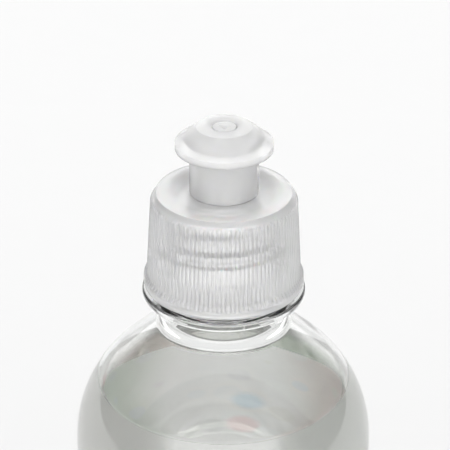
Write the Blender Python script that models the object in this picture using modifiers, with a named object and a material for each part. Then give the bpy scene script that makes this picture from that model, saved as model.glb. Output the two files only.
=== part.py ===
"""Clear round bottle of shampoo with a ribbed screw closure and a push-pull spout.

The bottle stands on the XY plane with its axis on Z.  All sizes are in metres.
"""
import math

import bmesh
import bpy

MM = 0.001

# Turned surfaces
SEGMENTS = 48                     # flats around every round piece, all in the same phase
ARC_TOLERANCE = 0.05 * MM         # how far a rounded corner's chords stray from its arc
CORNER_SHARE = 0.49               # most of a side that one rounded corner may take
WELD = 0.02 * MM                  # points this close on the axis are one

# Bottle
BODY_R = 27.3 * MM                # outside radius of the straight body
BOTTLE_HEIGHT = 152.0 * MM        # standing ring to mouth
BODY_WALL = 0.6 * MM
BASE_WALL = 0.9 * MM
SHOULDER_WALL = 0.9 * MM
SHOULDER_SLOPE = math.radians(43.0)   # below the horizontal
SHOULDER_ROUND = 24.8 * MM
NECK_FILLET = 2.5 * MM
HEEL_ROUND = 6.0 * MM
STANDING_RING_WIDTH = 2.4 * MM
PUSH_UP = 3.0 * MM                # height of the dome under the base

# Neck finish
FINISH_HEIGHT = 16.25 * MM        # top of the support ring to the mouth
FINISH_R = 10.75 * MM             # outside of the finish between its threads
FINISH_WALL = 1.35 * MM
MOUTH_ROUND = 0.4 * MM
RING_PROUD = 2.8 * MM             # support ring, beyond the crest of the thread
RING_THICKNESS = 1.4 * MM
RING_ROUND = 0.45 * MM
STEM_PROUD = 0.85 * MM            # neck below the support ring, beyond the finish
STEM_LENGTH = 5.6 * MM

# Screw thread, eight turns to the inch
THREAD_PITCH = 25.4 / 8 * MM
THREAD_DEPTH = 1.0 * MM
BOTTLE_THREAD_TURNS = 1.5
CLOSURE_THREAD_TURNS = 1.25
THREAD_TOP = 1.4 * MM             # mouth down to the centre of the thread's upper end
THREAD_START = math.radians(120.0)      # where the bottle's thread begins, low on the finish
BOTTLE_RIDGE = (1.5 * MM, 0.7 * MM)     # width at the root and at the crest
CLOSURE_RIDGE = (1.3 * MM, 0.6 * MM)
THREAD_GAP = 0.35 * MM            # radial, crest to root
FLANK_OFFSET = 1.2 * MM           # closure thread below the bottle thread, centre to centre
THREAD_FADE = 4                   # segments over which a ridge rises at each end
THREAD_END = 0.3                  # of a segment's rise, left standing at a ridge's very end
RIDGE_EMBED = 0.25 * MM

# Shampoo
HEADROOM = 36.0 * MM              # mouth down to the level
FILL_GAP = 0.3 * MM

# Label
LABEL_THICKNESS = 0.2 * MM
LABEL_GAP = 0.15 * MM
LABEL_BOTTOM = 14.0 * MM
LABEL_MARGIN = 4.8 * MM           # label's upper edge below the start of the shoulder

# Sealing ring
SEAL_THICKNESS = 0.8 * MM
SEAL_WIDTH = 2.8 * MM
SEAL_GAP = 0.3 * MM

# Closure
DECK_THICKNESS = 1.0 * MM
DECK_EDGE = (0.65 * MM, 1.1 * MM)       # bevel of its rim, inwards and down
DECK_EDGE_ROUND = 0.9 * MM        # where the bevel meets the skirt
SKIRT_WALL = 0.5 * MM             # at the deck, between the ribs
SKIRT_FLARE = 0.85 * MM           # added to the outside radius by the foot of the ribs
LIP_PROUD = 0.8 * MM              # plain band below the ribs
LIP_HEIGHT = 1.4 * MM
LIP_RISE = 1.15 * MM              # height of the flare between ribs and lip
LIP_CLEARANCE = 0.7 * MM          # over the bottle's support ring
COUNTERBORE = 0.6 * MM            # wider bore below the closure's thread
RIB_COUNT = 108
RIB_DEPTH = 0.28 * MM
RIB_VALLEY = 0.02 * MM            # floor between two ribs, beyond the skirt's own surface
RIB_FADE = 0.9 * MM

# Spout and the post that it slides on
SPOUT_R = 6.05 * MM
SPOUT_WALL = 0.85 * MM
SLIDE_GAP = 0.2 * MM              # every sliding fit between spout and post
BEAD = 0.4 * MM                   # how far the retaining beads stand out
BEAD_HEIGHT = 0.8 * MM
SPOUT_TRAVEL = 4.5 * MM
SPOUT_HEIGHT = 12.0 * MM
SPOUT_SEAT = 0.3 * MM             # spout's foot above the deck when it is pushed down
SPOUT_TOP_R = 4.9 * MM
SPOUT_TOP_WALL = 1.3 * MM
GRIP_REACH = 2.5 * MM             # pull flange, beyond the tube
GRIP_DROP = 2.9 * MM              # spout's top down to the flange's upper edge
GRIP_EDGE = 1.25 * MM
GRIP_WALL = 0.9 * MM
ORIFICE_R = 2.15 * MM
POST_WALL = 0.8 * MM
PIN_GAP = 0.15 * MM               # pin to orifice
PIN_RECESS = (1.4 * MM, 0.6 * MM)       # three-cornered recess, reach of its corners: top, floor
PIN_RECESS_DEPTH = 0.7 * MM
SPOKE_COUNT = 3
SPOKE_WIDTH = 0.9 * MM
SPOKE_HEIGHT = 5.0 * MM
SMALL_ROUND = 0.3 * MM
CRISP_ROUND = 0.15 * MM

# Heights that several pieces share
FILL_Z = BOTTLE_HEIGHT - HEADROOM
RING_TOP_Z = BOTTLE_HEIGHT - FINISH_HEIGHT
STEM_FOOT_Z = RING_TOP_Z - RING_THICKNESS - STEM_LENGTH
SEAL_Z = BOTTLE_HEIGHT + SEAL_GAP
DECK_UNDER_Z = SEAL_Z + SEAL_THICKNESS + SEAL_GAP
DECK_Z = DECK_UNDER_Z + DECK_THICKNESS
LIP_Z = RING_TOP_Z + LIP_CLEARANCE
SPOUT_FOOT_Z = DECK_Z + SPOUT_SEAT
SPOUT_TOP_Z = SPOUT_FOOT_Z + SPOUT_HEIGHT
POST_TOP_Z = SPOUT_TOP_Z - SPOUT_TOP_WALL - SPOUT_SEAT
POST_BEAD_Z = POST_TOP_Z - BEAD_HEIGHT / 2
POST_BEAD_UNDER_Z = POST_BEAD_Z - BEAD_HEIGHT
BOTTLE_THREAD_Z = BOTTLE_HEIGHT - THREAD_TOP - BOTTLE_THREAD_TURNS * THREAD_PITCH
THREAD_LEAD = math.radians(90.0)        # the closure's thread begins this much earlier
CLOSURE_THREAD_Z = BOTTLE_THREAD_Z - FLANK_OFFSET - THREAD_PITCH * THREAD_LEAD / math.tau

# Radii that several pieces share
BORE_R = FINISH_R - FINISH_WALL
THREAD_R = FINISH_R + THREAD_DEPTH
RING_R = THREAD_R + RING_PROUD
STEM_R = FINISH_R + STEM_PROUD
CLOSURE_BORE_R = THREAD_R + THREAD_GAP
SPOUT_BORE_R = SPOUT_R - SPOUT_WALL
POST_R = SPOUT_BORE_R - SLIDE_GAP - BEAD
PIN_R = ORIFICE_R - PIN_GAP


def clear_scene():
    """Remove every object that the file holds."""
    for obj in list(bpy.data.objects):
        bpy.data.objects.remove(obj, do_unlink=True)


def new_collection(name):
    """Return an empty collection that is linked to the scene."""
    collection = bpy.data.collections.new(name)
    bpy.context.scene.collection.children.link(collection)
    return collection


def finish(name, colour, roughness, alpha=1.0):
    """Return a Principled material; the object's plastics are all non-metallic."""
    material = bpy.data.materials.new(name)
    material.use_nodes = True
    shader = material.node_tree.nodes["Principled BSDF"]
    shader.inputs["Base Color"].default_value = (*colour, 1.0)
    shader.inputs["Roughness"].default_value = roughness
    shader.inputs["Metallic"].default_value = 0.0
    shader.inputs["Alpha"].default_value = alpha
    return material


def arc_corner(before, corner, after, radius):
    """Return the points of an arc that rounds one corner, tangent to both sides."""
    ax, az = before[0] - corner[0], before[1] - corner[1]
    bx, bz = after[0] - corner[0], after[1] - corner[1]
    a_len, b_len = math.hypot(ax, az), math.hypot(bx, bz)
    ax, az, bx, bz = ax / a_len, az / a_len, bx / b_len, bz / b_len
    half = math.acos(max(-1.0, min(1.0, ax * bx + az * bz))) / 2
    reach = min(radius / math.tan(half), CORNER_SHARE * a_len, CORNER_SHARE * b_len)
    radius = reach * math.tan(half)
    mid_x, mid_z = ax + bx, az + bz
    scale = radius / math.sin(half) / math.hypot(mid_x, mid_z)
    cx, cz = corner[0] + mid_x * scale, corner[1] + mid_z * scale
    start = math.atan2(corner[1] + az * reach - cz, corner[0] + ax * reach - cx)
    sweep = math.pi - 2 * half
    if ax * bz - az * bx > 0:
        sweep = -sweep
    chord_turn = 2 * math.acos(1 - min(1.0, ARC_TOLERANCE / radius))
    steps = max(1, math.ceil(abs(sweep) / chord_turn))
    points = []
    for i in range(steps + 1):
        angle = start + sweep * i / steps
        points.append((cx + radius * math.cos(angle), cz + radius * math.sin(angle)))
    return points


def rounded(corners, closed):
    """Turn corners (radius, height[, round]) into an outline with arcs for its rounds."""
    count = len(corners)
    outline = []
    for i, corner in enumerate(corners):
        is_end = not closed and i in (0, count - 1)
        if is_end or len(corner) < 3:
            outline.append(corner[:2])
            continue
        outline += arc_corner(corners[i - 1], corner, corners[(i + 1) % count], corner[2])
    return outline


def turned(name, collection, outline, closed, origin_z, material=None, segments=SEGMENTS):
    """Turn an outline around Z; it runs down the outer side of the piece."""
    verts = [(r, 0.0, z - origin_z) for r, z in outline]
    edges = [(i, i + 1) for i in range(len(verts) - 1)]
    if closed:
        edges.append((len(verts) - 1, 0))
    mesh = bpy.data.meshes.new(name)
    mesh.from_pydata(verts, edges, [])
    obj = bpy.data.objects.new(name, mesh)
    obj.location.z = origin_z
    collection.objects.link(obj)
    screw = obj.modifiers.new("turn", "SCREW")
    screw.axis = "Z"
    screw.angle = math.tau
    screw.steps = segments
    screw.render_steps = segments
    screw.use_merge_vertices = True
    screw.merge_threshold = WELD
    screw.use_smooth_shade = True
    if material:
        mesh.materials.append(material)
    return obj


def as_cutter(obj):
    """Mark an object as a tool that only shapes another piece."""
    obj.hide_render = True
    obj.display_type = "WIRE"
    return obj


def joined(target, tool, operation="UNION"):
    """Unite a tool body with its target, or cut it away, through an exact Boolean."""
    modifier = target.modifiers.new(tool.name, "BOOLEAN")
    modifier.operation = operation
    modifier.solver = "EXACT"
    modifier.object = tool


def mesh_object(name, collection, bm):
    """Store a bmesh as a closed object with its faces pointing out."""
    bmesh.ops.recalc_face_normals(bm, faces=bm.faces)
    mesh = bpy.data.meshes.new(name)
    bm.to_mesh(mesh)
    bm.free()
    obj = bpy.data.objects.new(name, mesh)
    collection.objects.link(obj)
    return obj


def bridge_loops(bm, loops, closed_run):
    """Skin equal rings of vertices; an open run also gets its two end caps."""
    pairs = list(zip(loops, loops[1:]))
    if closed_run:
        pairs.append((loops[-1], loops[0]))
    for first, second in pairs:
        for i in range(len(first)):
            j = (i + 1) % len(first)
            bm.faces.new((first[i], first[j], second[j], second[i]))
    if not closed_run:
        bm.faces.new(loops[0])
        bm.faces.new(reversed(loops[-1]))


def helical_ridge(name, collection, root_r, crest_r, widths, start, start_z, turns):
    """Loft one screw-thread ridge, sunk into its wall and faded out at both ends."""
    inward = crest_r < root_r
    sunk_r = root_r + (RIDGE_EMBED if inward else -RIDGE_EMBED)
    bm = bmesh.new()
    loops = []
    steps = round(turns * SEGMENTS)
    for i in range(steps + 1):
        rise = min(1.0, (min(i, steps - i) + THREAD_END) / THREAD_FADE)
        crest = root_r + (crest_r - root_r) * rise
        angle = start + math.tau * i / SEGMENTS
        z = start_z + THREAD_PITCH * i / SEGMENTS
        root_half, crest_half = widths[0] / 2, widths[1] / 2
        section = ((sunk_r, z - root_half), (crest, z - crest_half),
                   (crest, z + crest_half), (sunk_r, z + root_half))
        loops.append([bm.verts.new((r * math.cos(angle), r * math.sin(angle), height))
                      for r, height in section])
    bridge_loops(bm, loops, closed_run=False)
    return as_cutter(mesh_object(name, collection, bm))


def shoulder_line(corner_r, corner_z, body_r):
    """Return the height where the shoulder's slope would reach the body's radius."""
    return corner_z - (body_r - corner_r) * math.tan(SHOULDER_SLOPE)


def inner_outline(inset):
    """Corners of the bottle's inside from floor to mouth, moved inwards by an inset."""
    body_r = BODY_R - BODY_WALL - inset
    bore_r = BORE_R - inset
    drop = (SHOULDER_WALL + inset) / math.cos(SHOULDER_SLOPE)
    corner_z = STEM_FOOT_Z + (STEM_R - bore_r) * math.tan(SHOULDER_SLOPE) - drop
    floor_z = BASE_WALL + inset
    ring_r = BODY_R - HEEL_ROUND - STANDING_RING_WIDTH / 2
    return [
        (0.0, PUSH_UP + floor_z),
        (ring_r, floor_z, HEEL_ROUND),
        (body_r, floor_z, HEEL_ROUND - BODY_WALL),
        (body_r, shoulder_line(bore_r, corner_z, body_r), SHOULDER_ROUND - BODY_WALL - inset),
        (bore_r, corner_z, NECK_FILLET),
        (bore_r, BOTTLE_HEIGHT),
    ]


def make_bottle(parts, cutters, material):
    """Blown bottle: finish with its thread, support ring, shoulder, body and base."""
    ring_under_z = RING_TOP_Z - RING_THICKNESS
    inside = inner_outline(0.0)
    inside[-1] = (BORE_R, BOTTLE_HEIGHT, MOUTH_ROUND)
    outside = [
        (FINISH_R, BOTTLE_HEIGHT, MOUTH_ROUND),
        (FINISH_R, RING_TOP_Z),
        (RING_R, RING_TOP_Z, RING_ROUND),
        (RING_R, ring_under_z, RING_ROUND),
        (STEM_R, ring_under_z - RING_ROUND, RING_ROUND),
        (STEM_R, STEM_FOOT_Z, NECK_FILLET),
        (BODY_R, shoulder_line(STEM_R, STEM_FOOT_Z, BODY_R), SHOULDER_ROUND),
        (BODY_R, 0.0, HEEL_ROUND),
        (BODY_R - HEEL_ROUND - STANDING_RING_WIDTH, 0.0),
        (BODY_R - HEEL_ROUND - 2 * STANDING_RING_WIDTH, PUSH_UP / 2, STANDING_RING_WIDTH),
        (0.0, PUSH_UP),
    ]
    outline = rounded(inside + outside, closed=False)
    bottle = turned("bottle", parts, outline, False, 0.0, material)
    thread = helical_ridge("bottle_thread", cutters, FINISH_R, THREAD_R, BOTTLE_RIDGE,
                           THREAD_START, BOTTLE_THREAD_Z, BOTTLE_THREAD_TURNS)
    joined(bottle, thread)
    return bottle


def make_fill(parts, material):
    """Shampoo: the bottle's inside, a small gap smaller, cut level at the top."""
    outline = rounded(inner_outline(FILL_GAP), closed=False)
    rising = []
    for low, high in zip(outline, outline[1:]):
        rising.append(low)
        if low[1] < FILL_Z <= high[1]:
            share = (FILL_Z - low[1]) / (high[1] - low[1])
            rising.append((low[0] + (high[0] - low[0]) * share, FILL_Z))
            break
    rising.append((0.0, FILL_Z))
    return turned("shampoo_fill", parts, rising[::-1], False, 0.0, material)


def make_label(parts, material):
    """Wrap label: a thin sleeve of film around the straight body."""
    inner_r = BODY_R + LABEL_GAP
    outer_r = inner_r + LABEL_THICKNESS
    shoulder_z = (shoulder_line(STEM_R, STEM_FOOT_Z, BODY_R)
                  - SHOULDER_ROUND * math.tan(math.pi / 4 - SHOULDER_SLOPE / 2))
    top_z = shoulder_z - LABEL_MARGIN
    outline = [(inner_r, top_z), (outer_r, top_z), (outer_r, LABEL_BOTTOM),
               (inner_r, LABEL_BOTTOM)]
    return turned("wrap_label", parts, outline, True, 0.0, material)


def make_seal(parts, material):
    """Flat foam ring between the mouth and the closure's deck."""
    outer_r = CLOSURE_BORE_R - 2 * SEAL_GAP
    bore_r = outer_r - SEAL_WIDTH
    top_z = SEAL_Z + SEAL_THICKNESS
    outline = [(bore_r, top_z), (outer_r, top_z), (outer_r, SEAL_Z), (bore_r, SEAL_Z)]
    return turned("seal_ring", parts, outline, True, SEAL_Z, material)


def skirt_radius(z):
    """Outside radius of the closure between its ribs, at one height."""
    top_z, foot_z = DECK_Z - DECK_EDGE[1], LIP_Z + LIP_HEIGHT + LIP_RISE
    share = (top_z - z) / (top_z - foot_z)
    return CLOSURE_BORE_R + SKIRT_WALL + SKIRT_FLARE * share


def make_grip(cutters):
    """Ring of upright ribs around the skirt, fading into it under the deck."""
    foot_z = LIP_Z + LIP_HEIGHT + LIP_RISE / 2
    top_z = DECK_Z - DECK_EDGE[1]
    full_z = top_z - RIB_FADE
    sunk = SKIRT_WALL / 2
    rows = [
        (foot_z, -sunk, -sunk),
        (foot_z, RIB_VALLEY, RIB_DEPTH),
        (full_z, RIB_VALLEY, RIB_DEPTH),
        (top_z, -sunk / 2, -sunk / 4),
        (top_z, -sunk, -sunk),
    ]
    bm = bmesh.new()
    loops = []
    for z, valley, crest in rows:
        ring = []
        for i in range(2 * RIB_COUNT):
            angle = math.tau * i / (2 * RIB_COUNT)
            r = skirt_radius(z) + (crest if i % 2 else valley)
            ring.append(bm.verts.new((r * math.cos(angle), r * math.sin(angle), z)))
        loops.append(ring)
    bridge_loops(bm, loops, closed_run=True)
    return as_cutter(mesh_object("grip_ribs", cutters, bm))


def moved(obj, collection):
    """Take an object out of every other collection and into this one."""
    for owner in obj.users_collection:
        owner.objects.unlink(obj)
    collection.objects.link(obj)
    return obj


def make_recess(cutters):
    """Three-cornered tool for the recess in the pin's tip, one corner to the front."""
    top_r, floor_r = PIN_RECESS
    height = 2 * PIN_RECESS_DEPTH
    bpy.ops.mesh.primitive_cone_add(vertices=3, radius1=floor_r, radius2=2 * top_r - floor_r,
                                    depth=height, location=(0.0, 0.0, SPOUT_TOP_Z))
    recess = bpy.context.object
    recess.name = "pin_recess"
    recess.rotation_euler.z = math.pi
    return as_cutter(moved(recess, cutters))


def make_pin(cutters):
    """Stopper pin that fills the spout's orifice, with a recess in its tip."""
    foot_z = DECK_Z - DECK_THICKNESS
    outline = rounded([
        (0.0, SPOUT_TOP_Z),
        (PIN_R, SPOUT_TOP_Z, PIN_GAP),
        (PIN_R, foot_z),
        (0.0, foot_z),
    ], closed=False)
    pin = as_cutter(turned("stopper_pin", cutters, outline, False, 0.0, None, SEGMENTS // 2))
    joined(pin, make_recess(cutters), "DIFFERENCE")
    return pin


def make_spoke(cutters, index):
    """One of the webs that hold the pin inside the hollow post."""
    angle = math.tau * index / SPOKE_COUNT + math.radians(90.0)
    length = POST_R - POST_WALL / 2
    bpy.ops.mesh.primitive_cube_add(size=1.0)
    spoke = bpy.context.object
    spoke.name = "spoke_%d" % (index + 1)
    spoke.scale = (length, SPOKE_WIDTH, SPOKE_HEIGHT)
    spoke.location = (length / 2 * math.cos(angle), length / 2 * math.sin(angle),
                      DECK_Z + SPOKE_HEIGHT / 2)
    spoke.rotation_euler.z = angle
    return as_cutter(moved(spoke, cutters))


def make_closure(parts, cutters, material):
    """Screw closure: deck, hollow post with its pin, ribbed skirt and inner thread."""
    thread_foot_z = CLOSURE_THREAD_Z - CLOSURE_RIDGE[0]
    lip_top_z = LIP_Z + LIP_HEIGHT
    rib_foot_z = lip_top_z + LIP_RISE
    lip_r = skirt_radius(rib_foot_z) + LIP_PROUD
    edge_z = DECK_Z - DECK_EDGE[1]
    post_bore_r = POST_R - POST_WALL
    corners = [
        (post_bore_r, POST_TOP_Z),
        (POST_R, POST_TOP_Z),
        (POST_R + BEAD, POST_BEAD_Z),
        (POST_R + BEAD, POST_BEAD_Z - BEAD_HEIGHT / 2),
        (POST_R, POST_BEAD_UNDER_Z),
        (POST_R, DECK_Z, SMALL_ROUND),
        (skirt_radius(DECK_Z) - DECK_EDGE[0], DECK_Z, CRISP_ROUND),
        (skirt_radius(edge_z), edge_z, DECK_EDGE_ROUND),
        (skirt_radius(rib_foot_z), rib_foot_z),
        (lip_r, lip_top_z, SMALL_ROUND),
        (lip_r, LIP_Z, SMALL_ROUND),
        (CLOSURE_BORE_R + COUNTERBORE, LIP_Z, SMALL_ROUND),
        (CLOSURE_BORE_R + COUNTERBORE, thread_foot_z - COUNTERBORE),
        (CLOSURE_BORE_R, thread_foot_z),
        (CLOSURE_BORE_R, DECK_UNDER_Z),
        (post_bore_r, DECK_UNDER_Z),
    ]
    closure = turned("closure", parts, rounded(corners, closed=True), True, BOTTLE_HEIGHT, material)
    joined(closure, make_grip(cutters))
    joined(closure, helical_ridge("closure_thread", cutters, CLOSURE_BORE_R,
                                  FINISH_R + THREAD_GAP, CLOSURE_RIDGE, THREAD_START - THREAD_LEAD,
                                  CLOSURE_THREAD_Z, CLOSURE_THREAD_TURNS))
    pin = make_pin(cutters)
    for index in range(SPOKE_COUNT):
        joined(pin, make_spoke(cutters, index))
    joined(closure, pin)
    return closure


def make_spout(parts, material):
    """Push-pull spout: tube, pull flange, orifice and the bead that keeps it on its post."""
    bead_top_z = POST_BEAD_UNDER_Z - SPOUT_TRAVEL - SLIDE_GAP
    bead_r = POST_R + SLIDE_GAP
    grip_r = SPOUT_R + GRIP_REACH
    grip_top_z = SPOUT_TOP_Z - GRIP_DROP
    grip_under_z = grip_top_z - GRIP_EDGE
    slope = GRIP_DROP / (grip_r - SPOUT_TOP_R)
    vault_z = SPOUT_TOP_Z - (SPOUT_R - SPOUT_TOP_R) * slope - GRIP_WALL * math.hypot(1.0, slope)
    ceiling_z = SPOUT_TOP_Z - SPOUT_TOP_WALL
    corners = [
        (ORIFICE_R, SPOUT_TOP_Z, PIN_GAP),
        (SPOUT_TOP_R, SPOUT_TOP_Z, CRISP_ROUND),
        (grip_r, grip_top_z, CRISP_ROUND),
        (grip_r, grip_under_z, CRISP_ROUND),
        (grip_r - GRIP_WALL, grip_under_z, SMALL_ROUND),
        (SPOUT_R, vault_z, SMALL_ROUND),
        (SPOUT_R, SPOUT_FOOT_Z, SMALL_ROUND),
        (SPOUT_BORE_R, SPOUT_FOOT_Z),
        (SPOUT_BORE_R, bead_top_z - 2 * BEAD_HEIGHT),
        (bead_r, bead_top_z - 1.5 * BEAD_HEIGHT),
        (bead_r, bead_top_z - BEAD_HEIGHT / 2),
        (SPOUT_BORE_R, bead_top_z),
        (SPOUT_BORE_R, ceiling_z),
        (ORIFICE_R, ceiling_z),
    ]
    return turned("spout", parts, rounded(corners, closed=True), True, SPOUT_FOOT_Z, material)


def main():
    """Build every piece and parent the moving ones down the chain that carries them."""
    clear_scene()
    parts = new_collection("shampoo_bottle")
    cutters = new_collection("cutters")
    clear_pet = finish("clear_pet", (0.86, 0.88, 0.86), 0.05, 0.25)
    natural_pp = finish("natural_pp", (0.72, 0.73, 0.72), 0.35)
    spout_pp = finish("spout_pp", (0.80, 0.80, 0.79), 0.3)
    foam = finish("white_foam", (0.85, 0.85, 0.84), 0.8)
    shampoo = finish("pale_shampoo", (0.78, 0.80, 0.74), 0.05, 0.4)
    print_film = finish("printed_film", (0.90, 0.75, 0.78), 0.3)

    bottle = make_bottle(parts, cutters, clear_pet)
    fill = make_fill(parts, shampoo)
    label = make_label(parts, print_film)
    seal = make_seal(parts, foam)
    closure = make_closure(parts, cutters, natural_pp)
    spout = make_spout(parts, spout_pp)
    for still in (fill, label):
        still.parent = bottle
    for child, parent in ((seal, bottle), (closure, seal), (spout, closure)):
        child.parent = parent
        child.location.z -= {bottle: 0.0, seal: SEAL_Z, closure: BOTTLE_HEIGHT}[parent]


main()
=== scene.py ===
"""Looks of a clear round shampoo bottle with a ribbed push-pull closure."""
import math

import bmesh
import bpy
import numpy as np
from mathutils import Matrix, Quaternion, Vector


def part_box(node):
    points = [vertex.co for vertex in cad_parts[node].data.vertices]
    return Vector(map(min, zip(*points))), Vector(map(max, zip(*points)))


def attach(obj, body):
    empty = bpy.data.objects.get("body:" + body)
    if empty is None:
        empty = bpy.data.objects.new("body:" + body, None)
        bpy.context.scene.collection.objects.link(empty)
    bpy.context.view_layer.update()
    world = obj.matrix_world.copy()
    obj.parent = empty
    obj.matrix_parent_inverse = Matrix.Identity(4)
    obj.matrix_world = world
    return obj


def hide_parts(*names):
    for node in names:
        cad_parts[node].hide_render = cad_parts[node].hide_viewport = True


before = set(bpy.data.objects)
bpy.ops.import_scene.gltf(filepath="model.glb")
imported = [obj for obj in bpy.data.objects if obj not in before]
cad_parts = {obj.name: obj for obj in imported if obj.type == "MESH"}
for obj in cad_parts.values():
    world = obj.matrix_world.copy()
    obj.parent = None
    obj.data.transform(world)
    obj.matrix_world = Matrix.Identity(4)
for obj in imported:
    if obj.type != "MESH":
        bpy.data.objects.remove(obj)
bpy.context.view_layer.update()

MM = 0.001

# How finely the meshes are drawn
ARC_TOLERANCE = 0.004 * MM
SHARP_ANGLE = math.radians(40.0)
BODY_SEGMENTS = 256
SPOUT_SEGMENTS = 192
SEAL_SEGMENTS = 128
PIN_SEGMENTS = 72
STEPS_PER_RIB = 6
BOTTLE_ROW = 0.16 * MM
CLOSURE_ROW = 0.2 * MM

# ---------------------------------------------------------------- sizes from the frame
_, bottle_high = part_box("bottle")
_, fill_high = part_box("shampoo_fill")
label_low, label_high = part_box("wrap_label")
seal_low, seal_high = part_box("seal_ring")
closure_low, closure_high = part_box("closure")
spout_low, spout_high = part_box("spout")

BODY_R = bottle_high.x
MOUTH_Z = bottle_high.z
FILL_Z = fill_high.z
LIP_R = closure_high.x
LIP_Z = closure_low.z
SPOUT_FOOT_Z = spout_low.z
SPOUT_TOP_Z = spout_high.z
GRIP_R = spout_high.x

# Bottle
BODY_WALL = 0.6 * MM
BASE_WALL = 0.9 * MM
SHOULDER_WALL = 0.9 * MM
SHOULDER_SLOPE = math.radians(43.0)
SHOULDER_ROUND = 24.8 * MM
NECK_FILLET = 2.5 * MM
HEEL_ROUND = 6.0 * MM
STANDING_RING_WIDTH = 2.4 * MM
PUSH_UP = 3.0 * MM
FINISH_HEIGHT = 16.25 * MM
FINISH_R = 10.75 * MM
BORE_R = 9.4 * MM
RING_R = 14.55 * MM
RING_THICKNESS = 1.4 * MM
STEM_R = 11.6 * MM
STEM_LENGTH = 5.6 * MM
MOUTH_ROUND = 0.4 * MM
SEAM_HEIGHT = 0.05 * MM           # parting line of the blow mould
SEAM_WIDTH = 0.22 * MM
SEAM_AZIMUTH = math.radians(-76.0)

LABEL_THICKNESS = 0.1 * MM
LABEL_ROWS = 7
LABEL_BOND = 0.02 * MM            # how far the label's adhesive reaches into the wall

# Threads
PITCH = 25.4 / 8 * MM
THREAD_DEPTH = 1.0 * MM
THREAD_TOP = 1.4 * MM
THREAD_START = 1 / 3              # of a turn round from +X, where the bottle's thread begins
THREAD_GAP = 0.35 * MM
BOTTLE_TURNS = 1.5
CLOSURE_TURNS = 1.25
FLANK_OFFSET = 1.2 * MM
BOTTLE_RIDGE = (1.5 * MM, 0.7 * MM)
CLOSURE_RIDGE = (1.3 * MM, 0.6 * MM)
THREAD_FADE = 0.09                # of a turn, at each end of a ridge

SEAL_WIDTH = 2.8 * MM
SEAL_ROUND = 0.15 * MM

# Shampoo
FILL_OVERLAP = 0.12 * MM          # how far the liquid reaches into the wall, so no air is between
MENISCUS_CLIMB = 0.7 * MM
MENISCUS_REACH = 2.2 * MM
MENISCUS_DECAY = 4.0
MENISCUS_STEPS = 12
SURFACE_STEPS = 5

# Closure
DECK_THICKNESS = 1.0 * MM
DECK_Z = SPOUT_FOOT_Z - 0.3 * MM
DECK_EDGE = (0.65 * MM, 1.1 * MM)       # bevel of its rim, inwards and down
DECK_EDGE_ROUND = 0.9 * MM
DECK_STEP = (8.8 * MM, 0.1 * MM)        # faint moulded step on the deck, radius and depth
CLOSURE_BORE_R = FINISH_R + THREAD_DEPTH + THREAD_GAP
SKIRT_WALL = 0.5 * MM
SKIRT_FLARE = 0.85 * MM
COUNTERBORE = 0.6 * MM
LIP_HEIGHT = 1.4 * MM
LIP_RISE = 1.15 * MM
RIB_COUNT = 108
RIB_DEPTH = 0.28 * MM
RIB_FADE = 0.8 * MM
RIB_TOP = 0.9 * MM                # deck down to where the ribs start
RIB_RUNOUT = 0.5 * MM             # where the ribs sink into the flare above the lip

# Spout and post
SPOUT_R = 6.05 * MM
SPOUT_BORE_R = 5.2 * MM
SPOUT_TOP_R = 4.9 * MM
SPOUT_TOP_WALL = 1.3 * MM
GRIP_DROP = 2.9 * MM
GRIP_EDGE = 1.25 * MM
GRIP_WALL = 0.9 * MM
ORIFICE_R = 2.15 * MM
PIN_R = 2.1 * MM
PIN_RECESS = (1.4 * MM, 0.6 * MM)       # three-cornered recess, reach of its corners: top, floor
PIN_RECESS_DEPTH = 0.7 * MM
EDGE_ROUND = 0.15 * MM            # small edges of pin, beads and spout
POST_R = 4.6 * MM
POST_WALL = 0.8 * MM
BEAD = 0.4 * MM
BEAD_HEIGHT = 0.8 * MM
SPOUT_TRAVEL = 4.5 * MM
SPOUT_REST = 0.04 * MM            # spout's foot above the deck when it is pushed down
SLIDE_GAP = 0.2 * MM
SPOKE_COUNT = 3
SPOKE_AZIMUTH = math.radians(90.0)
SPOKE_WIDTH = 0.9 * MM
SPOKE_HEIGHT = 5.0 * MM
SMALL_ROUND = 0.3 * MM
CRISP_ROUND = 0.12 * MM

# Camera
CAMERA_LENS = 144.0
CAMERA_SENSOR = 36.0
CAMERA_PITCH = math.radians(27.9)
CAMERA_ROLL = math.radians(0.25)
CAMERA_DISTANCE = 316.2 * MM
CAMERA_DROP = 6.77 * MM           # deck down to the point aimed at
CAMERA_OFFSET = 0.18 * MM

# Surroundings: level all round, how much dimmer it is overhead, what a soft light in front
# adds, and darker flags low down at both sides, each with the spread over which it fades in
ROOM_LEVEL = 1.74
TOP_DIM = 0.6
TOP_SPREAD = (0.5, 0.95)
FRONT_LIGHT = 0.95
FRONT_SPREAD = (0.3, 0.8)
SIDE_FLAG = 0.9
SIDE_SPREAD = (0.3, 0.6)
FLAG_RISE = (0.3, 0.85)
FLOOR_TONE = 0.68
FLOOR_MOTTLE = 0.004
FLOOR_SIDE = 6.0
FLOOR_DROP = 0.02 * MM            # keeps the standing ring and the floor from sharing a plane

# Levels and radii worked out from the ones above
RING_TOP_Z = MOUTH_Z - FINISH_HEIGHT
RING_UNDER_Z = RING_TOP_Z - RING_THICKNESS
STEM_FOOT_Z = RING_UNDER_Z - STEM_LENGTH
BOTTLE_THREAD_Z = MOUTH_Z - THREAD_TOP - BOTTLE_TURNS * PITCH
CLOSURE_LEAD = 0.25               # of a turn, the closure's thread begins earlier
POST_TOP_Z = SPOUT_TOP_Z - SPOUT_TOP_WALL - 0.3 * MM
RIB_FOOT_Z = LIP_Z + LIP_HEIGHT + LIP_RISE


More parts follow.
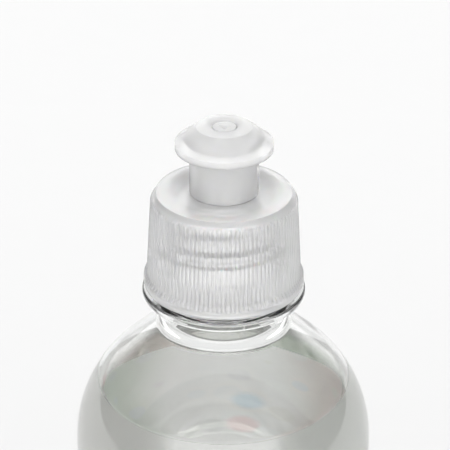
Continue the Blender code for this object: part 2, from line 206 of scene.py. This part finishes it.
# ---------------------------------------------------------------- outlines and turned meshes
def arc_corner(before, corner, after, radius):
    """Points of an arc that rounds one corner, tangent to both its sides."""
    a = np.subtract(before, corner)
    b = np.subtract(after, corner)
    a_len, b_len = np.hypot(*a), np.hypot(*b)
    a, b = a / a_len, b / b_len
    half = math.acos(float(np.clip(a @ b, -1.0, 1.0))) / 2
    reach = min(radius / math.tan(half), 0.49 * a_len, 0.49 * b_len)
    radius = reach * math.tan(half)
    middle = a + b
    centre = corner + middle / np.hypot(*middle) * radius / math.sin(half)
    first = corner + a * reach - centre
    start = math.atan2(first[1], first[0])
    sweep = math.pi - 2 * half
    if a[0] * b[1] - a[1] * b[0] > 0:
        sweep = -sweep
    chord_turn = 2 * math.acos(1 - min(1.0, ARC_TOLERANCE / radius))
    steps = max(3, math.ceil(abs(sweep) / chord_turn))
    turns = start + sweep * np.linspace(0.0, 1.0, steps + 1)
    return [(centre[0] + radius * math.cos(t), centre[1] + radius * math.sin(t)) for t in turns]


def rounded(corners, closed):
    """Corners (radius, height, round, relief) to outline points (radius, height, relief).

    A corner's relief names the raised pattern on the stretch that leads up to it.
    """
    outline = []
    count = len(corners)
    for i, (r, z, fillet, relief) in enumerate(corners):
        is_end = not closed and i in (0, count - 1)
        if is_end or not fillet:
            points = [(r, z)]
        else:
            before, after = corners[i - 1][:2], corners[(i + 1) % count][:2]
            points = arc_corner(before, np.array((r, z)), after, fillet)
        outline += [(point[0], point[1], relief if k == 0 else None)
                    for k, point in enumerate(points)]
    return outline


def finely(outline, step, closed):
    """Split the stretches that carry a relief into rows no further apart than a step."""
    rows = []
    count = len(outline)
    for i, (r, z, relief) in enumerate(outline):
        if relief and (closed or i):
            r0, z0, _ = outline[i - 1]
            parts = max(1, math.ceil(math.hypot(r - r0, z - z0) / step))
            for k in range(1, parts):
                share = k / parts
                rows.append((r0 + (r - r0) * share, z0 + (z - z0) * share, relief))
        ends_relief = i + 1 < count and outline[i + 1][2] == relief
        rows.append((r, z, relief if relief and ends_relief else None))
    return rows


def even_turns(segments, extra=()):
    """Angles around a piece, with a few more where a fine detail needs them."""
    angles = list(np.arange(segments) * math.tau / segments)
    angles += [a % math.tau for a in extra]
    return np.unique(np.round(angles, 7))


def revolve(name, rows, closed, angles, reliefs=None):
    """Turn outline rows around Z. They run down the outer side of the piece."""
    cos, sin = np.cos(angles), np.sin(angles)
    verts, rings = [], []
    for r, z, relief in rows:
        if r < 1e-7:
            rings.append([len(verts)])
            verts.append((0.0, 0.0, z))
            continue
        radius = np.full(len(angles), r)
        if relief:
            radius = radius + reliefs[relief](z, angles)
        rings.append(list(range(len(verts), len(verts) + len(angles))))
        verts += list(zip(radius * cos, radius * sin, np.full(len(angles), z)))
    pairs = list(zip(rings, rings[1:]))
    if closed:
        pairs.append((rings[-1], rings[0]))
    faces = []
    count = len(angles)
    for upper, lower in pairs:
        for j in range(count):
            k = (j + 1) % count
            if len(upper) == 1:
                faces.append((upper[0], lower[j], lower[k]))
            elif len(lower) == 1:
                faces.append((upper[j], lower[0], upper[k]))
            else:
                faces.append((upper[j], lower[j], lower[k], upper[k]))
    return as_piece(name, verts, faces)


def as_piece(name, verts, faces):
    """Store a mesh, smooth but for its real edges."""
    mesh = bpy.data.meshes.new(name)
    mesh.from_pydata([tuple(map(float, v)) for v in verts], [], faces)
    mesh.validate()
    mesh.shade_smooth()
    mesh.set_sharp_from_angle(angle=SHARP_ANGLE)
    obj = bpy.data.objects.new(name, mesh)
    bpy.context.scene.collection.objects.link(obj)
    return obj


def smooth_step(x):
    """0 below 0, 1 above 1, and an even rise between."""
    x = np.clip(x, 0.0, 1.0)
    return x * x * (3.0 - 2.0 * x)


def thread_relief(z0, start_turn, turns, ridge, depth):
    """A helical ridge as a raised pattern on a round wall; a negative depth points inwards."""
    root_half, crest_half = ridge[0] / 2, ridge[1] / 2

    def height(z, angles):
        total = np.zeros(len(angles))
        for lap in range(-1, math.ceil(turns) + 1):
            run = angles / math.tau + lap - start_turn
            centre = z0 + PITCH * run
            away = np.abs(z - centre)
            flank = smooth_step((root_half - away) / (root_half - crest_half))
            fade = smooth_step(np.minimum(run, turns - run) / THREAD_FADE)
            total = np.maximum(total, flank * fade)
        return depth * total

    return height


def seam_relief(z, angles):
    """The fine raised line where the two halves of the mould met, fading below the neck."""
    total = np.zeros(len(angles))
    for seam in (SEAM_AZIMUTH, SEAM_AZIMUTH + math.pi):
        away = np.abs((angles - seam + math.pi) % math.tau - math.pi) * STEM_R
        total = np.maximum(total, smooth_step(1.0 - away / SEAM_WIDTH))
    on_neck = smooth_step((z - STEM_FOOT_Z) / STEM_LENGTH)
    return SEAM_HEIGHT * total * on_neck


def seam_angles():
    """Extra angles that let the parting line have a crest and two feet."""
    width = SEAM_WIDTH / STEM_R
    return [seam + k * width / 3 for seam in (SEAM_AZIMUTH, SEAM_AZIMUTH + math.pi)
            for k in range(-4, 5)]


def skirt_radius(z):
    """Outside radius of the closure between its ribs, at one height."""
    top_z = DECK_Z - DECK_EDGE[1]
    share = (top_z - z) / (top_z - RIB_FOOT_Z)
    return CLOSURE_BORE_R + SKIRT_WALL + SKIRT_FLARE * share


def rib_relief(z, angles):
    """Upright grip ribs, rounded on top, that fade in under the deck and stop at the lip."""
    wave = 0.5 + 0.5 * np.cos(angles * RIB_COUNT)
    foot_z = LIP_Z + LIP_HEIGHT
    fade = smooth_step((DECK_Z - RIB_TOP - z) / RIB_FADE) * smooth_step((z - foot_z) / RIB_RUNOUT)
    return RIB_DEPTH * fade * smooth_step(wave * 1.25)


# ---------------------------------------------------------------- pieces
def shoulder_line(corner_r, corner_z, body_r):
    """Height where the shoulder's slope would reach the body's radius."""
    return corner_z - (body_r - corner_r) * math.tan(SHOULDER_SLOPE)


def inner_corners(inset):
    """The bottle's inside from floor to mouth, moved inwards by an inset."""
    body_r = BODY_R - BODY_WALL - inset
    bore_r = BORE_R - inset
    drop = (SHOULDER_WALL + inset) / math.cos(SHOULDER_SLOPE)
    corner_z = STEM_FOOT_Z + (STEM_R - bore_r) * math.tan(SHOULDER_SLOPE) - drop
    floor_z = BASE_WALL + inset
    ring_r = BODY_R - HEEL_ROUND - STANDING_RING_WIDTH / 2
    return [
        (0.0, PUSH_UP + floor_z, 0, None),
        (ring_r, floor_z, HEEL_ROUND, None),
        (body_r, floor_z, HEEL_ROUND - BODY_WALL, None),
        (body_r, shoulder_line(bore_r, corner_z, body_r),
         SHOULDER_ROUND - BODY_WALL - inset, None),
        (bore_r, corner_z, NECK_FILLET, None),
        (bore_r, MOUTH_Z, MOUTH_ROUND, None),
    ]


def make_bottle():
    """Blown shell with its screw thread, support ring, parting line and pushed-up base."""
    outside = [
        (FINISH_R, MOUTH_Z, MOUTH_ROUND, None),
        (FINISH_R, RING_TOP_Z, 0.2 * MM, "thread"),
        (RING_R, RING_TOP_Z, 0.4 * MM, None),
        (RING_R, RING_UNDER_Z, 0.55 * MM, "seam"),
        (STEM_R, RING_UNDER_Z - 0.45 * MM, 0.6 * MM, "seam"),
        (STEM_R, STEM_FOOT_Z, NECK_FILLET, "seam"),
        (BODY_R, shoulder_line(STEM_R, STEM_FOOT_Z, BODY_R), SHOULDER_ROUND, None),
        (BODY_R, 0.0, HEEL_ROUND, None),
        (BODY_R - HEEL_ROUND - STANDING_RING_WIDTH, 0.0, 0, None),
        (BODY_R - HEEL_ROUND - 2 * STANDING_RING_WIDTH, PUSH_UP / 2, STANDING_RING_WIDTH, None),
        (0.0, PUSH_UP, 0, None),
    ]
    outline = rounded(inner_corners(0.0) + outside, closed=False)
    rows = finely(outline, BOTTLE_ROW, closed=False)
    reliefs = {
        "thread": thread_relief(BOTTLE_THREAD_Z, THREAD_START, BOTTLE_TURNS,
                                BOTTLE_RIDGE, THREAD_DEPTH),
        "seam": seam_relief,
    }
    return revolve("bottle_shell", rows, False, even_turns(BODY_SEGMENTS, seam_angles()), reliefs)


def make_shampoo():
    """The liquid, met by the wall all round, with a meniscus that climbs it."""
    climb, reach = MENISCUS_CLIMB, MENISCUS_REACH
    outline = rounded(inner_corners(-FILL_OVERLAP), closed=False)
    rising = []
    for low, high in zip(outline, outline[1:]):
        rising.append(low)
        if low[1] < FILL_Z + climb <= high[1]:
            share = (FILL_Z + climb - low[1]) / (high[1] - low[1])
            rising.append((low[0] + (high[0] - low[0]) * share, FILL_Z + climb, None))
            break
    wall_r = rising[-1][0]
    for k in range(1, MENISCUS_STEPS + 1):
        inward = reach * k / MENISCUS_STEPS
        height = climb * math.exp(-MENISCUS_DECAY * k / MENISCUS_STEPS)
        rising.append((wall_r - inward, FILL_Z + height, None))
    for k in range(1, SURFACE_STEPS + 1):
        rising.append(((wall_r - reach) * (1 - k / SURFACE_STEPS) ** 0.8, FILL_Z, None))
    return revolve("shampoo", rising[::-1], False, even_turns(BODY_SEGMENTS))


def make_label():
    """Wrap label: a thin printed film, stuck to the wall."""
    inner_r = BODY_R - LABEL_BOND
    outer_r = inner_r + LABEL_THICKNESS
    low_z, high_z = label_low.z, label_high.z
    outline = [(inner_r, high_z, None), (outer_r, high_z, None)]
    outline += [(outer_r, z, None) for z in np.linspace(high_z, low_z, LABEL_ROWS)[1:-1]]
    outline += [(outer_r, low_z, None), (inner_r, low_z, None)]
    return revolve("printed_label", outline, True, even_turns(BODY_SEGMENTS))


def make_seal():
    """Foam ring under the deck."""
    inner_r, outer_r = seal_high.x - SEAL_WIDTH, seal_high.x
    low_z, high_z = seal_low.z, seal_high.z
    corners = [(inner_r, high_z, SEAL_ROUND, None), (outer_r, high_z, SEAL_ROUND, None),
               (outer_r, low_z, SEAL_ROUND, None), (inner_r, low_z, SEAL_ROUND, None)]
    return revolve("foam_seal", rounded(corners, True), True, even_turns(SEAL_SEGMENTS))


def make_closure():
    """Ribbed screw closure with its deck, hollow post, inner thread and plain lip."""
    thread_z = BOTTLE_THREAD_Z - FLANK_OFFSET - PITCH * CLOSURE_LEAD
    thread_foot_z = thread_z - CLOSURE_RIDGE[0]
    post_bore_r = POST_R - POST_WALL
    bead_z = POST_TOP_Z - BEAD_HEIGHT / 2
    under_z = DECK_Z - DECK_THICKNESS
    lip_top_z = LIP_Z + LIP_HEIGHT
    step_r, step = DECK_STEP
    corners = [
        (post_bore_r, POST_TOP_Z, 0.1 * MM, None),
        (POST_R, POST_TOP_Z, 0, None),
        (POST_R + BEAD, bead_z, EDGE_ROUND, None),
        (POST_R + BEAD, bead_z - BEAD_HEIGHT / 2, EDGE_ROUND, None),
        (POST_R, bead_z - BEAD_HEIGHT, EDGE_ROUND, None),
        (POST_R, DECK_Z - step, SMALL_ROUND, None),
        (step_r - step, DECK_Z - step, 0, None),
        (step_r + step, DECK_Z, 0, None),
        (skirt_radius(DECK_Z) - DECK_EDGE[0], DECK_Z, CRISP_ROUND, None),
        (skirt_radius(DECK_Z - DECK_EDGE[1]), DECK_Z - DECK_EDGE[1], DECK_EDGE_ROUND, None),
        (skirt_radius(RIB_FOOT_Z), RIB_FOOT_Z, 0.8 * MM, "ribs"),
        (LIP_R, lip_top_z, 0.5 * MM, "ribs"),
        (LIP_R, LIP_Z, 0.35 * MM, None),
        (CLOSURE_BORE_R + COUNTERBORE, LIP_Z, 0.3 * MM, None),
        (CLOSURE_BORE_R + COUNTERBORE, thread_foot_z - COUNTERBORE, 0, None),
        (CLOSURE_BORE_R, thread_foot_z, 0.1 * MM, None),
        (CLOSURE_BORE_R, under_z, 0.2 * MM, "thread"),
        (post_bore_r, under_z, 0.2 * MM, None),
    ]
    outline = rounded(corners, True)
    marked = []
    for r, z, relief in outline:
        on_skirt = r > CLOSURE_BORE_R + 0.2 * MM and lip_top_z < z < DECK_Z
        marked.append((r, z, "ribs" if on_skirt else relief))
    reliefs = {
        "ribs": rib_relief,
        "thread": thread_relief(thread_z, THREAD_START - CLOSURE_LEAD, CLOSURE_TURNS,
                                CLOSURE_RIDGE, -THREAD_DEPTH),
    }
    rows = finely(marked, CLOSURE_ROW, closed=True)
    return revolve("ribbed_closure", rows, True, even_turns(RIB_COUNT * STEPS_PER_RIB), reliefs)


def make_pin():
    """Stopper pin with a recess in its top, on three webs inside the hollow post."""
    foot_z = DECK_Z - DECK_THICKNESS
    corners = [
        (0.0, SPOUT_TOP_Z, 0, None),
        (PIN_R, SPOUT_TOP_Z, EDGE_ROUND, None),
        (PIN_R, foot_z, EDGE_ROUND, None),
        (0.0, foot_z, 0, None),
    ]
    pin = revolve("stopper_pin", rounded(corners, False), False, even_turns(PIN_SEGMENTS))
    reach = POST_R - POST_WALL + 0.1 * MM
    for index in range(SPOKE_COUNT):
        angle = math.tau * index / SPOKE_COUNT + SPOKE_AZIMUTH
        web = bmesh.new()
        bmesh.ops.create_cube(web, size=1.0)
        bmesh.ops.scale(web, vec=(reach, SPOKE_WIDTH, SPOKE_HEIGHT), verts=web.verts)
        bmesh.ops.translate(web, vec=(reach / 2, 0.0, DECK_Z + SPOKE_HEIGHT / 2),
                            verts=web.verts)
        bmesh.ops.rotate(web, cent=(0, 0, 0), verts=web.verts,
                         matrix=Matrix.Rotation(angle, 3, "Z"))
        combine(pin, web, "UNION")
    recess = bmesh.new()
    top_r, floor_r = PIN_RECESS
    bmesh.ops.create_cone(recess, segments=3, cap_ends=True, radius1=floor_r,
                          radius2=2 * top_r - floor_r, depth=2 * PIN_RECESS_DEPTH)
    bmesh.ops.rotate(recess, cent=(0, 0, 0), verts=recess.verts,
                     matrix=Matrix.Rotation(math.pi, 3, "Z"))
    bmesh.ops.translate(recess, vec=(0.0, 0.0, SPOUT_TOP_Z), verts=recess.verts)
    combine(pin, recess, "DIFFERENCE")
    return pin


def combine(piece, shape, operation):
    """Join a shape to a piece, or cut it out, and keep the result as the piece's mesh."""
    mesh = bpy.data.meshes.new("tool")
    shape.to_mesh(mesh)
    shape.free()
    tool = bpy.data.objects.new("tool", mesh)
    bpy.context.scene.collection.objects.link(tool)
    modifier = piece.modifiers.new("combine", "BOOLEAN")
    modifier.operation = operation
    modifier.object = tool
    graph = bpy.context.evaluated_depsgraph_get()
    made = bpy.data.meshes.new_from_object(piece.evaluated_get(graph))
    piece.modifiers.clear()
    piece.data = made
    made.shade_smooth()
    made.set_sharp_from_angle(angle=SHARP_ANGLE)
    bpy.data.objects.remove(tool, do_unlink=True)


def make_spout():
    """Push-pull spout: top with its orifice, umbrella flange, tube and retaining bead."""
    foot_z = DECK_Z + SPOUT_REST
    post_bead_under_z = POST_TOP_Z - 1.5 * BEAD_HEIGHT
    bead_top_z = post_bead_under_z - SPOUT_TRAVEL - SLIDE_GAP
    bead_r = POST_R + SLIDE_GAP
    grip_top_z = SPOUT_TOP_Z - GRIP_DROP
    grip_under_z = grip_top_z - GRIP_EDGE
    slope = GRIP_DROP / (GRIP_R - SPOUT_TOP_R)
    vault_z = SPOUT_TOP_Z - (SPOUT_R - SPOUT_TOP_R) * slope - GRIP_WALL * math.hypot(1.0, slope)
    ceiling_z = SPOUT_TOP_Z - SPOUT_TOP_WALL
    corners = [
        (ORIFICE_R, SPOUT_TOP_Z, EDGE_ROUND, None),
        (SPOUT_TOP_R, SPOUT_TOP_Z, CRISP_ROUND, None),
        (GRIP_R, grip_top_z, CRISP_ROUND, None),
        (GRIP_R, grip_under_z, CRISP_ROUND, None),
        (GRIP_R - GRIP_WALL, grip_under_z, 0.35 * MM, None),
        (SPOUT_R, vault_z, 0.4 * MM, None),
        (SPOUT_R, foot_z, EDGE_ROUND, None),
        (SPOUT_BORE_R, foot_z, EDGE_ROUND, None),
        (SPOUT_BORE_R, bead_top_z - 2 * BEAD_HEIGHT, 0.1 * MM, None),
        (bead_r, bead_top_z - 1.5 * BEAD_HEIGHT, 0.1 * MM, None),
        (bead_r, bead_top_z - BEAD_HEIGHT / 2, 0.1 * MM, None),
        (SPOUT_BORE_R, bead_top_z, 0.1 * MM, None),
        (SPOUT_BORE_R, ceiling_z, 0.2 * MM, None),
        (ORIFICE_R, ceiling_z, 0.1 * MM, None),
    ]
    return revolve("push_pull_spout", rounded(corners, True), True, even_turns(SPOUT_SEGMENTS))


# ---------------------------------------------------------------- shader writing
class Wire:
    """A socket whose sums, products and powers add Math nodes to its material."""

    def __init__(self, nodes, socket):
        self.nodes = nodes
        self.socket = socket

    def math(self, operation, *others):
        """Add one Math node on this socket and the others."""
        inputs = {i: value for i, value in enumerate((self, *others))}
        return self.nodes.node("ShaderNodeMath", {"operation": operation}, inputs)

    def __add__(self, other):
        return self.math("ADD", other)

    def __radd__(self, other):
        return self.math("ADD", other)

    def __sub__(self, other):
        return self.math("SUBTRACT", other)

    def __rsub__(self, other):
        return (self * -1.0) + other

    def __mul__(self, other):
        return self.math("MULTIPLY", other)

    def __rmul__(self, other):
        return self.math("MULTIPLY", other)

    def __pow__(self, other):
        return self.math("POWER", other)

    def ramp(self, low, high):
        """0 at low, 1 at high, held outside, smooth between."""
        settings = {"interpolation_type": "SMOOTHSTEP"}
        inputs = {"Value": self, "From Min": low, "From Max": high}
        return self.nodes.node("ShaderNodeMapRange", settings, inputs)


class Nodes:
    """A node tree being written, for a material or for the surroundings."""

    def __init__(self, owner):
        owner.use_nodes = True
        self.tree = owner.node_tree
        self.tree.nodes.clear()

    def add(self, kind, settings, inputs):
        """Add one node: settings first, then the values or links of its sockets."""
        made = self.tree.nodes.new(kind)
        for key, value in settings.items():
            if key == "stops":
                write_stops(made.color_ramp, value)
            else:
                setattr(made, key, value)
        for key, value in inputs.items():
            self.plug(made.inputs[key], value)
        return made

    def node(self, kind, settings, inputs, out=0):
        """Add one node and give back one of its outputs as a wire."""
        return Wire(self, self.add(kind, settings, inputs).outputs[out])

    def plug(self, socket, value):
        """Link a wire to a socket, or set the socket's value."""
        if isinstance(value, Wire):
            self.tree.links.new(value.socket, socket)
        else:
            socket.default_value = value

    def axes(self, place):
        """The three coordinates of a place, each as a wire."""
        split = self.add("ShaderNodeSeparateXYZ", {}, {0: place})
        return [Wire(self, output) for output in split.outputs]

    def mix(self, factor, low, high):
        """Mix two colours."""
        return self.node("ShaderNodeMix", {"data_type": "RGBA"}, {0: factor, 6: low, 7: high}, 2)


class Finish(Nodes):
    """A material being written: one Principled shader and the nodes that feed it."""

    def __init__(self, name, **principled):
        self.material = bpy.data.materials.new(name)
        super().__init__(self.material)
        self.shader = self.add("ShaderNodeBsdfPrincipled", {}, {})
        surface = Wire(self, self.shader.outputs[0])
        self.output = self.add("ShaderNodeOutputMaterial", {}, {"Surface": surface})
        self.feed(**principled)
        self.place = self.node("ShaderNodeTexCoord", {}, {}, "Object")

    def feed(self, **values):
        """Send wires or values to the shader's own sockets."""
        for key, value in values.items():
            self.plug(self.shader.inputs[key.replace("_", " ")], value)

    def noise(self, scale, detail):
        """Soft clouds through the piece, from 0 to 1."""
        inputs = {"Vector": self.place, "Scale": scale, "Detail": detail}
        return self.node("ShaderNodeTexNoise", {}, inputs, "Fac")

    def bump(self, height, strength, distance):
        """Give the surface a fine relief."""
        inputs = {"Height": height, "Strength": strength, "Distance": distance}
        self.feed(Normal=self.node("ShaderNodeBump", {}, inputs))


def write_stops(ramp, stops):
    """Give a colour ramp its stops, as (position, colour)."""
    while len(ramp.elements) > len(stops):
        ramp.elements.remove(ramp.elements[-1])
    while len(ramp.elements) < len(stops):
        ramp.elements.new(1.0)
    for element, (position, colour) in zip(ramp.elements, stops):
        element.position = position
        element.color = colour


def rgb(r, g, b):
    """A colour with full cover."""
    return (r, g, b, 1.0)


# Inks of the label; a bubble on its back is (azimuth, height in mm, radius in mm, ink)
PRINT_WHITE = rgb(0.99, 0.99, 0.985)
PRINT_CREAM = rgb(0.99, 0.98, 0.955)
PRINT_GREEN = rgb(0.7, 0.86, 0.68)
PRINT_PINK = rgb(0.92, 0.7, 0.66)
PRINT_BLUE = rgb(0.6, 0.74, 0.9)
PRINT_ROSE = rgb(0.9, 0.62, 0.62)
PRINT_GREY = rgb(0.6, 0.61, 0.6)
BUBBLE_BLUR = 1.1
BUBBLE_TINTS = [(0.0, PRINT_GREEN), (0.35, PRINT_PINK), (0.65, PRINT_BLUE), (1.0, PRINT_WHITE)]
BACK_BUBBLES = [
    (1.38, 71.0, 3.4, PRINT_BLUE),
    (1.42, 60.5, 3.6, PRINT_ROSE),
    (1.22, 58.0, 2.6, PRINT_WHITE),
    (1.66, 60.0, 3.0, PRINT_GREY),
]


# ---------------------------------------------------------------- finishes
def clear_pet():
    """Glossy clear plastic with faint handling haze."""
    pet = Finish("clear_pet", IOR=1.57, Transmission_Weight=1.0)
    haze = pet.noise(160.0, 3.0).ramp(0.55, 0.8)
    pet.feed(Base_Color=pet.mix(haze, rgb(0.985, 0.99, 0.985), rgb(0.95, 0.955, 0.95)),
             Roughness=haze * 0.05 + 0.015)
    pet.bump(pet.noise(90.0, 1.0), 0.06, 0.4 * MM)
    return pet.material


def pale_shampoo():
    """Clear pale green-grey liquid."""
    liquid = Finish("pale_shampoo", IOR=1.37, Transmission_Weight=1.0, Roughness=0.0)
    swirl = liquid.noise(30.0, 2.0)
    liquid.feed(Base_Color=liquid.mix(swirl, rgb(0.985, 0.995, 0.98), rgb(0.995, 0.99, 0.98)))
    inputs = {"Color": rgb(0.8, 0.86, 0.66), "Density": 2.0}
    depth = liquid.node("ShaderNodeVolumeAbsorption", {}, inputs)
    liquid.plug(liquid.output.inputs["Volume"], depth)
    return liquid.material


def natural_pp(name, tone, grain, clarity):
    """Unpigmented moulding: light passes, detail blurs a little, the rest glows white."""
    milk = Finish(name, IOR=1.49, Transmission_Weight=clarity, Subsurface_Weight=1.0,
                  Subsurface_Radius=(1.0, 1.0, 0.95), Subsurface_Scale=1.2 * MM)
    cloud = milk.noise(220.0, 3.0)
    low, high = rgb(*(0.99 * t for t in tone)), rgb(*tone)
    milk.feed(Base_Color=milk.mix(cloud, low, high), Roughness=cloud * 0.05 + grain)
    milk.bump(milk.noise(300.0, 1.0), 0.02, 0.05 * MM)
    return milk.material


def white_foam():
    """Fine closed cells."""
    foam = Finish("white_foam", Subsurface_Weight=0.3, Subsurface_Scale=0.5 * MM)
    cells = foam.node("ShaderNodeTexVoronoi", {}, {"Vector": foam.place, "Scale": 2600.0})
    foam.feed(Base_Color=foam.mix(cells, rgb(0.84, 0.84, 0.82), rgb(0.93, 0.93, 0.92)),
              Roughness=0.75 + cells * 0.1)
    foam.bump(cells, 0.4, 0.1 * MM)
    return foam.material


def printed_film():
    """White film that lets light through, softly printed with washes and plain bubbles."""
    film = Finish("printed_film", Subsurface_Weight=1.0, Subsurface_Scale=0.45 * MM,
                  Subsurface_Radius=(1.0, 1.0, 1.0), IOR=1.5)
    x, y, z = film.axes(film.place)
    turn = film.node("ShaderNodeMath", {"operation": "ARCTAN2"}, {0: y, 1: x})
    across, up = turn * (BODY_R / MM), z * (1 / MM)
    cloud = film.noise(35.0, 2.0)
    colour = film.mix(cloud, PRINT_WHITE, PRINT_CREAM)
    left = (x * (-1 / BODY_R) + cloud * 0.4).ramp(0.4, 1.1)
    colour = film.mix(left * 0.9, colour, PRINT_GREEN)
    right = (x * (1 / BODY_R) + cloud * 0.4).ramp(0.4, 1.1)
    colour = film.mix(right * 0.9, colour, PRINT_PINK)
    flat = film.node("ShaderNodeCombineXYZ", {}, {0: across, 1: up})
    cells = {"voronoi_dimensions": "2D", "feature": "F1"}
    inputs = {"Vector": flat, "Scale": 0.09, "Randomness": 0.8}
    away = film.node("ShaderNodeTexVoronoi", cells, inputs, "Distance")
    pick = film.axes(film.node("ShaderNodeTexVoronoi", cells, inputs, "Color"))
    size = pick[0] * 0.22 + 0.08
    bubble = 1.0 - (away - size).ramp(-0.01, 0.01)
    tint = film.node("ShaderNodeValToRGB", {"stops": BUBBLE_TINTS}, {"Fac": pick[1]})
    colour = film.mix(bubble * 0.35, colour, tint)
    for azimuth, height, radius, tint in BACK_BUBBLES:
        aside = across - azimuth * (BODY_R / MM)
        rise = up - height
        reach = (aside * aside + rise * rise) ** 0.5
        cover = 1.0 - reach.ramp(radius - BUBBLE_BLUR, radius + BUBBLE_BLUR)
        colour = film.mix(cover, colour, tint)
    film.feed(Base_Color=colour, Roughness=cloud * 0.1 + 0.3)
    return film.material


def pale_floor():
    """Matt pale sheet, very faintly mottled."""
    floor = Finish("pale_floor", Roughness=0.7)
    low, high = rgb(*[FLOOR_TONE - FLOOR_MOTTLE] * 3), rgb(*[FLOOR_TONE + FLOOR_MOTTLE] * 3)
    floor.feed(Base_Color=floor.mix(floor.noise(60.0, 2.0), low, high))
    return floor.material


# ---------------------------------------------------------------- put together
def place(piece, body, slot, material, *nodes):
    """Give a piece its finish and its body, and hide the node that it stands for."""
    piece.data.materials.clear()
    piece.data.materials.append(material)
    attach(piece, body)
    if nodes:
        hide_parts(*nodes)


def make_world():
    """Studio light: soft all round, stronger in front, dimmer overhead, dark low at the sides."""
    world = bpy.data.worlds.new("studio")
    bpy.context.scene.world = world
    studio = Nodes(world)
    x, y, z = studio.axes(studio.node("ShaderNodeTexCoord", {}, {}, "Generated"))
    flags = (x * x).ramp(*SIDE_SPREAD) * (1.0 - z.ramp(*FLAG_RISE)) * SIDE_FLAG
    front = (y * -1.0).ramp(*FRONT_SPREAD) * FRONT_LIGHT
    level = (1.0 - flags) * ROOM_LEVEL + front + z.ramp(*TOP_SPREAD) * -TOP_DIM
    light = studio.node("ShaderNodeBackground", {}, {"Color": rgb(1.0, 1.0, 1.0),
                                                     "Strength": level})
    studio.add("ShaderNodeOutputWorld", {}, {"Surface": light})


def make_camera():
    """A long lens, looking a little steeply down on the closure and shoulder."""
    data = bpy.data.cameras.new("camera")
    data.lens = CAMERA_LENS
    data.sensor_width = CAMERA_SENSOR
    data.dof.use_dof = False
    camera = bpy.data.objects.new("camera", data)
    bpy.context.scene.collection.objects.link(camera)
    aim = Vector((CAMERA_OFFSET, 0.0, DECK_Z - CAMERA_DROP))
    back = Vector((0.0, -math.cos(CAMERA_PITCH), math.sin(CAMERA_PITCH)))
    camera.location = aim + back * CAMERA_DISTANCE
    turn = (-back).to_track_quat("-Z", "Y") @ Quaternion((0, 0, 1), CAMERA_ROLL)
    camera.rotation_euler = turn.to_euler()
    bpy.context.scene.camera = camera


def make_floor():
    """The sheet that the bottle stands on."""
    bpy.ops.mesh.primitive_plane_add(size=FLOOR_SIDE, location=(0.0, 0.0, -FLOOR_DROP))
    floor = bpy.context.object
    floor.name = "floor"
    floor.data.materials.append(pale_floor())


def main():
    """Set the view and its light, make each piece and put it on its body."""
    scene = bpy.context.scene
    scene.view_settings.view_transform = "Standard"
    scene.view_settings.look = "None"
    scene.cycles.max_bounces = 32
    scene.cycles.diffuse_bounces = 16
    scene.cycles.transmission_bounces = 20
    scene.cycles.transparent_max_bounces = 16
    make_camera()
    make_world()
    make_floor()
    closure_pp = natural_pp("natural_pp", (0.998, 0.998, 0.998), 0.13, 0.72)
    place(make_bottle(), "bottle", "clear_pet", clear_pet(), "bottle")
    place(make_shampoo(), "bottle", "pale_shampoo", pale_shampoo(), "shampoo_fill")
    place(make_label(), "bottle", "printed_film", printed_film(), "wrap_label")
    place(make_seal(), "seal", "white_foam", white_foam(), "seal_ring")
    place(make_closure(), "closure", "natural_pp", closure_pp, "closure")
    pin_pp = natural_pp("thick_pp", (0.985, 0.985, 0.98), 0.2, 0.5)
    place(make_pin(), "closure", "natural_pp", pin_pp)
    spout_pp = natural_pp("spout_pp", (0.998, 0.998, 0.993), 0.12, 0.68)
    place(make_spout(), "spout", "spout_pp", spout_pp, "spout")


main()
